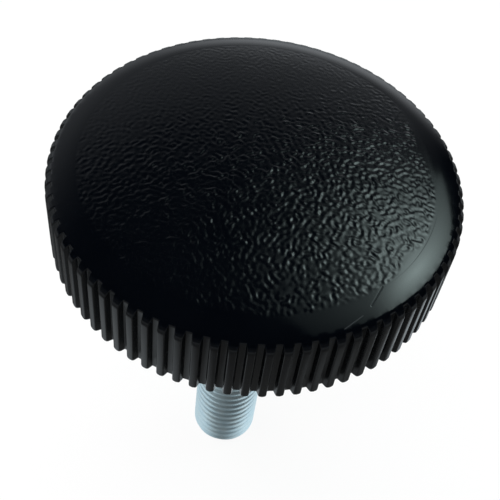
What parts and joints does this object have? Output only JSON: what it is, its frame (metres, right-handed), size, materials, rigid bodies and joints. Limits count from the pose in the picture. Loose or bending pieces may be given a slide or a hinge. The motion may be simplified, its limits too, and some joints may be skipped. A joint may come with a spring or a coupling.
{
  "type": "knurled knob",
  "caption": "Round black plastic clamping knob with a straight-knurled rim, a grained domed top inside a polished border, a cored underside and a threaded steel stud.",
  "frame": {"origin": "on the stud's axis, in the plane of the hub's seat face, where the thread begins", "axes": "+Z along the stud's axis from its tip towards the dome; X and Y are across the knob and alike"},
  "size_m": [0.05, 0.05, 0.0654],
  "materials": {
    "black_plastic": "moulded, grained dome, polished border and ribs",
    "zinc_plated_steel": "bright zinc plating on a rolled thread"
  },
  "bodies": {
    "root": {"knob_body": "black_plastic", "threaded_stud": "zinc_plated_steel"}
  },
  "joints": []
}
